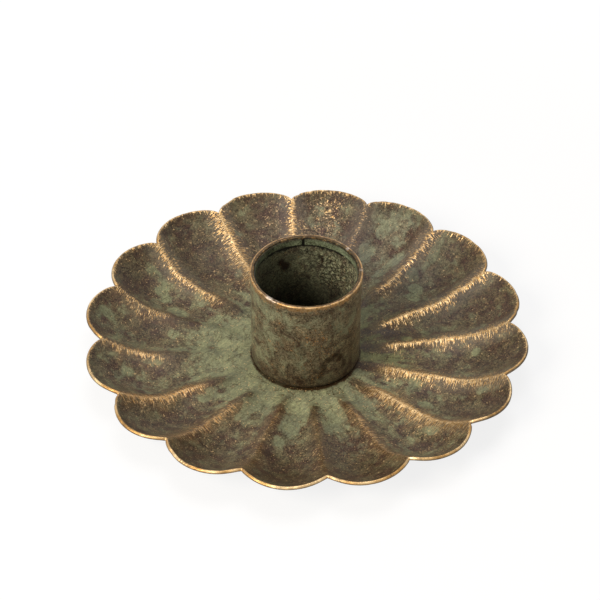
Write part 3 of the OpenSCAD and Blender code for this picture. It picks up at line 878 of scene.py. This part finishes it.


# Drawn brass tube, browned in running streaks, green and crackled inside, worn to metal along the lip, with
# painted shade at its foot and deep inside, a painted shadow line by the mouth strip, painted light on its
# right side and a painted white shine on the lip
def cupPatina():
    material, add, point = startFinish("browned drawn brass with a worn lip")
    wear = cupWear
    noted = readNotes(add, "outside inside flecked greened crackled silvered")
    sideways, forwards, height = add("SeparateXYZ", [point]).node.outputs
    flat = add("VectorMath MULTIPLY", [point, (1.0, 1.0, 0.0)])
    radius = add("VectorMath LENGTH", [flat])
    top = cup["foot"] + cup["height"]
    slant = add("VectorMath MULTIPLY", [point, (1.0, 1.0, 0.8)])
    run = add("TexNoise", [point, wear["streaksPerMm"], 1.0], "Color")
    wavering = add("VectorMath SCALE", [run, 6.0])
    drawn = add("VectorMath ADD", [slant, wavering])
    insideWall = add("MapRange", [radius, cup["bore"] + 0.1, cup["bore"] + 0.3, 1.0, 0.0])
    leftSide = add("MapRange", [sideways, -12.0, -3.0, 0.45, 0.24])
    wet = add("Mix", [insideWall, leftSide, 0.6])
    # darker towards the foot, with a painted contact shadow line at the very foot
    footDark = add("MapRange", [height, *wear["footDarkening"], 0.6, 0.0])
    footShadowLine = add("MapRange", [height, *wear["footShadowLine"], 0.85, 0.0])
    greening = add("Math ADD", [wet, noted.greened])
    stained = add("Math ADD", [noted.outside, noted.inside])
    sparkle = add("MapRange", [noted.flecked, 0.0, 1.0, 0.05, 1.0])
    footed = add("Math MAXIMUM", [footDark, footShadowLine])
    darkening = add("Math ADD", [stained, footed])
    skin, rough, relief = agedSkin(add, point, cupFinish, greening, darkening, sparkle, drawn)
    # painted light: paler towards the right side
    paintedRightLight = add("MapRange", [sideways, 0.0, 11.0, 1.0, 1.3])
    # painted shade: darker low on the foot
    footShade = add("MapRange", [height, *wear["footShade"], 0.22, 1.0])
    skinGain = add("Math MULTIPLY", [paintedRightLight, footShade])
    colour = add("VectorMath SCALE", [skin, skinGain])

    # crackled crust inside: pale plates between dark cracks
    warp = add("TexNoise", [point, 0.8, 3.0], "Color")
    warped = add("VectorMath ADD", [point, warp])
    plates = add("TexVoronoi DISTANCE_TO_EDGE", [warped, wear["platesPerMm"]])
    crack = add("MapRange", [plates, 0.0, 0.15, 1.0, 0.0])
    wrinkle = add("TexNoise", {"Vector": point, "Scale": wear["wrinklesPerMm"], "Detail": 4.0,
                               "Roughness": 0.7, "Distortion": 0.6})
    # the wrinkles' brightness swings are partly the crust's tone and partly painted light and shade of its
    # bumps, strongest where crackled
    lowest = add("MapRange", [noted.crackled, 0.0, 1.0, 0.45, 0.15])
    highest = add("MapRange", [noted.crackled, 0.0, 1.0, 1.6, 2.6])
    wrinkled = add("MapRange", [wrinkle, 0.38, 0.63, lowest, highest])
    # painted shade: darker deeper inside the cup
    depthShade = add("MapRange", [height, *wear["depths"], 0.3, 1.0])
    crustShading = add("Math MULTIPLY", [wrinkled, depthShade])
    crust = add("VectorMath SCALE", [colour, crustShading])
    where = add("TexNoise", [point, wear["cracksPerMm"], 2.0])
    crackArea = add("MapRange", [where, 0.5, 0.62, 0.0, 0.6])
    crackPlace = add("Math MULTIPLY_ADD", [noted.crackled, 0.95, crackArea], use_clamp=True)
    cracking = add("Math MULTIPLY", [crack, crackPlace])
    cracked = add("Mix RGBA", [cracking, crust, paint(wear["crack"])])
    # painted shadow: a dark ragged line on the bore wall behind and under the mouth strip, fading out below
    # the lip
    ragged = add("TexNoise", [point, wear["raggedPerMm"], 6.0, 0.75])
    shadowLineFoot = add("MapRange", [ragged, 0.36, 0.66, *wear["shadowLineFoot"]])
    shadowLine = past(add, height, shadowLineFoot, 0.0, 0.2, 0.95)
    lipward = add("MapRange", [height, *wear["shadowLineTop"], 1.0, 0.0])
    stripShadow = add("Math MULTIPLY", [shadowLine, lipward])
    bandlined = add("Mix RGBA", [stripShadow, cracked, paint(wear["shadowLine"])])
    lined = add("Mix RGBA", [insideWall, colour, bandlined])
    topped = add("MapRange", [height, *wear["cap"], 0.0, 0.8])
    capped = add("Mix RGBA", [topped, lined, paint(wear["lipTop"])])
    bumps = add("Math MULTIPLY", [wrinkle, 0.7])
    creased = add("Math MULTIPLY_ADD", [cracking, -0.12, bumps])
    linedRelief = add("Mix", [insideWall, relief, creased])

    # the lip: metal in broken lengths
    groove = add("Math SUBTRACT", [radius, cup["bore"] + 0.32])
    offGroove = add("Math ABSOLUTE", [groove])
    grooved = add("MapRange", [offGroove, 0.06, 0.24, 0.24, 0.0])
    lipNoise = add("TexNoise", [point, wear["lipStrokesPerMm"], 6.0, 0.85])
    towardsFront = add("MapRange", [forwards, 4.0, -7.0, 0.1, -0.12])
    innerEdge = add("MapRange", [groove, -0.24, -0.12, towardsFront, 0.0])
    lipDull = add("Math ADD", [grooved, innerEdge])
    lipStroke = add("Math SUBTRACT", [lipNoise, lipDull])
    fromTop = add("Math SUBTRACT", [top, height])
    lipFrom = add("MapRange", [fromTop, 0.4, 2.4, 0.41, 0.66])
    cover = past(add, lipStroke, lipFrom, -0.02, 0.09, 0.88)
    colour, rough, relief = rubThrough(add, point, (capped, rough, linedRelief), cover, 0.3)
    # painted highlight: a white shine on the lip where noted
    silver = add("MapRange", [lipNoise, 0.42, 0.54])
    shining = add("Math MULTIPLY", [silver, noted.silvered])
    bright = add("Mix RGBA", [shining, colour, paint(wear["silver"])])
    endFinish(add, (bright, rough, relief), cover, 0.9)
    return material


cupPiece = spin("drawn_cup", evenly(cupProfile(), cup["spacing"]), cup["around"], cupShift)
noteCupWear(cupPiece.data)
cupPiece.data.materials.append(cupPatina())
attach(cupPiece, "root")
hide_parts("candle_cup")
print("cup spun:", len(cupPiece.data.polygons), "faces")


# The mouth ring: a strip bent round just inside the lip, its ends not quite meeting
ring = {
    "inner": 11.1, "thickness": 0.3, "height": 1.8, "low": 22.5, "edge": 0.07,
    "split": 0.6, "splitTurn": 93.4, "spacing": 0.15, "around": 360, "ragged": 0.12,
    "contactShadeFrom": 0.3, "contactShadeFull": 0.05,                    # mm from its sheared edges
}


def ringProfile():
    edge = ring["edge"]
    inner, outer = ring["inner"] + edge, ring["inner"] + ring["thickness"] - edge
    low, high = ring["low"] + edge, ring["low"] + ring["height"] - edge
    corners = [(outer, low), (outer, high), (inner, high), (inner, low)]
    return [spot for i, corner in enumerate(corners) for spot in arc(corner, edge, 90 * i - 90, 90 * i, 3)]


def ringShift(turns, r, z):             # sheared edges, a little ragged
    middle = ring["low"] + ring["height"] / 2
    upper = np.clip((z - middle) / ring["height"] * 2, 0, 1)
    lower = np.clip((middle - z) / ring["height"] * 2, 0, 1)
    ragged = 0.5 + 0.25 * unevenness(4 * turns, 0, 2.2) + 0.25 * unevenness(17 * turns, 0, 0.7)
    low = 0.5 + 0.25 * unevenness(5 * turns, 0, 5.2) + 0.25 * unevenness(19 * turns, 0, 3.1)
    return r, z - ring["ragged"] * ragged * upper + ring["ragged"] * low * lower


ringFinish = dict(cupFinish, seed=23.0, umber="#535944", olive="#7d866a", tan="#92967a", sage="#a8b492",
                  sageDark="#84906f", speck="#9aa582", patch=2.4, bloomSize=2.0, bloomCover=0.8)


# Thin brass strip crusted with verdigris: pale green and dull, with painted shade along its sheared edges
# where it meets the cup's wall
def ringVerdigris():
    material, add, point = startFinish("verdigris crust on a brass strip")
    height = add("SeparateXYZ", [point], "Z")
    half = ring["height"] / 2
    away = add("Math ABSOLUTE", [add("Math SUBTRACT", [height, ring["low"] + half])])
    # painted shade along the sheared edges
    contactShade = add("MapRange", [away, half - ring["contactShadeFrom"], half - ring["contactShadeFull"], 0.0, 0.9])
    endFinish(add, agedSkin(add, point, ringFinish, 0.3, contactShade, 0.0), 0.0, 0.8)
    return material


gap = math.degrees(ring["split"] / ring["inner"])
ringPiece = spin("mouth_strip", evenly(ringProfile(), ring["spacing"]), ring["around"], ringShift,
                 360 - gap, ring["splitTurn"] + gap / 2)
ringPiece.data.materials.append(ringVerdigris())
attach(ringPiece, "root")
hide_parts("mouth_ring")
print("mouth strip bent:", len(ringPiece.data.polygons), "faces")


# The rivet: countersunk under the dish and hammered over on the cup's floor
rivet = {
    "shank": 1.5, "head": 2.7, "headTop": 0.5, "sunk": 0.05, "peen": 2.6, "peenFoot": 1.55, "peenHeight": 1.1,
    "spacing": 0.12, "around": 96, "hammered": 0.09, "wearPerMm": 1.2,
}


def rivetProfile():
    dome = (rivet["peen"] ** 2 + rivet["peenHeight"] ** 2) / (2 * rivet["peenHeight"])
    rise = math.degrees(math.asin((dome - rivet["peenHeight"]) / dome))
    sunk = rivet["head"] - rivet["sunk"] * (rivet["head"] - rivet["shank"]) / rivet["headTop"]
    return ([(0.0, rivet["sunk"]), (sunk, rivet["sunk"]), (rivet["shank"], rivet["headTop"]),
             (rivet["shank"], rivet["peenFoot"])]
            + arc((0, rivet["peenFoot"] + rivet["peenHeight"] - dome), dome, rise, 90, 12))


def rivetShift(turns, r, z):            # hammer flats on the dome
    flats = np.sin(3.1 * r * np.cos(turns) + 0.8) * np.sin(2.7 * r * np.sin(turns) + 1.9)
    domed = np.clip((z - rivet["peenFoot"]) / 0.3, 0, 1)
    return r, z - rivet["hammered"] * domed * (0.5 + 0.5 * flats)


rivetFinish = dict(dishFinish, seed=31.0, umber="#5a4630", olive="#7a6743", sage="#7d7c5a", patch=1.6,
                   bloomSize=1.8, bloomCover=0.4)


# Brass wire hammered over: dull yellow brown, with brighter metal on the high spots
def rivetBrass():
    material, add, point = startFinish("dull hammered brass")
    skin = agedSkin(add, point, rivetFinish, 0.0, 0.0, 0.3)
    wear = add("TexNoise", [point, rivet["wearPerMm"], 3.0, 0.6])
    cover = add("MapRange", [wear, 0.4, 0.62, 0.1, 0.85])
    endFinish(add, rubThrough(add, point, skin, cover, 0.3), cover, 0.8)
    return material


rivetPiece = spin("hammered_rivet", evenly(rivetProfile(), rivet["spacing"]), rivet["around"], rivetShift)
rivetPiece.data.materials.append(rivetBrass())
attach(rivetPiece, "root")
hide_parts("rivet")
print("rivet hammered:", len(rivetPiece.data.polygons), "faces")
